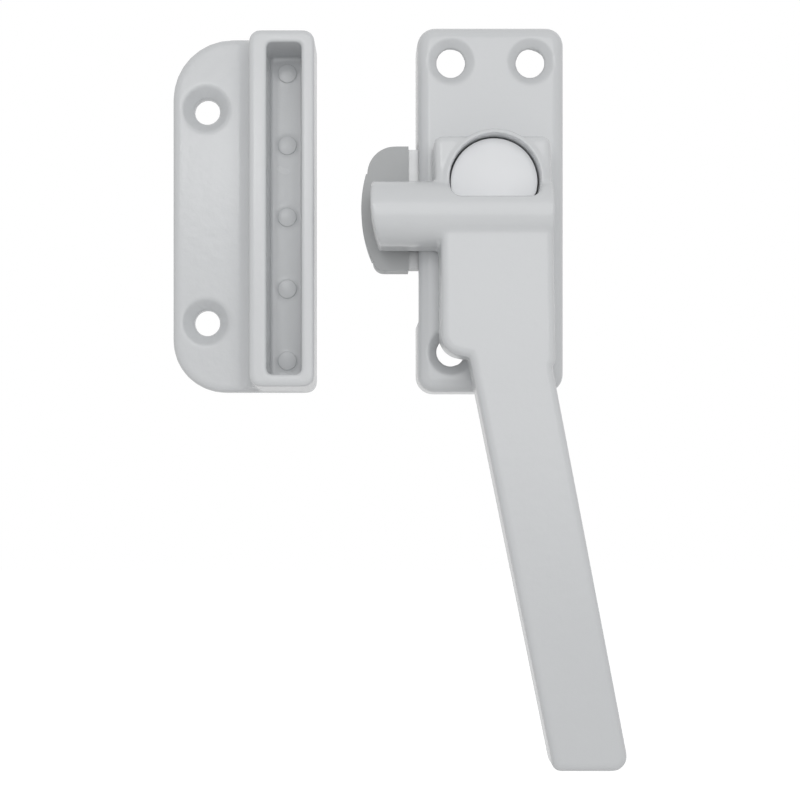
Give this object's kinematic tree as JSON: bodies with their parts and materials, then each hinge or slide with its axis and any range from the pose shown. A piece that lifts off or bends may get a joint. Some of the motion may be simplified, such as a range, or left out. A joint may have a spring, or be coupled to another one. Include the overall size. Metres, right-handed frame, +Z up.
{
  "type": "stair gate latch",
  "caption": "Surface-mounted cam latch: a lever with a round spur and a push button turns a capped cam out of the side of a hollow base, beside a box keeper with a long slot.",
  "frame": {"origin": "the lever's turning axis at the mounting surface, which is the centre of the base's four screw holes", "axes": "+Z up the mounting surface, +X to the right seen from the front, front faces -Y; the mounting surface is Y = 0"},
  "size_m": [0.0809, 0.0208, 0.1323],
  "materials": {
    "enamel": "gloss white powder coat",
    "nylon": "moulded grey nylon",
    "button_plastic": "smooth white",
    "zinc_plate": "zinc plated",
    "spring_steel": "drawn wire"
  },
  "bodies": {
    "base": {"base_plate": "enamel", "rear_cover": "zinc_plate", "cover_screws": "zinc_plate", "spindle_bush": "nylon", "detent_ball": "zinc_plate", "detent_spring": "spring_steel", "detent_plug": "zinc_plate"},
    "lever": {"lever_handle": "enamel", "spindle": "zinc_plate", "cam_tongue": "zinc_plate", "tongue_cap": "nylon", "disc_spring": "spring_steel", "spindle_screw": "zinc_plate", "button_spring": "spring_steel"},
    "button": {"push_button": "button_plastic", "lock_plunger": "zinc_plate"},
    "keeper": {"keeper": "enamel"}
  },
  "joints": [
    {"name": "lever_turn", "type": "hinge", "parent": "base", "child": "lever", "pos_m": [0, 0, 0], "axis": [0, -1, 0], "range_deg": [0, 90]},
    {"name": "button_press", "type": "slide", "parent": "lever", "child": "button", "axis": [0, 1, 0], "range_m": [0, 0.002], "stiffness_N_per_m": 500, "springref_m": -0.002, "deforming": ["button_spring"]},
    {"name": "keeper_shift", "type": "slide", "parent": "base", "child": "keeper", "axis": [-1, 0, 0], "range_m": [0, 0.04]}
  ]
}
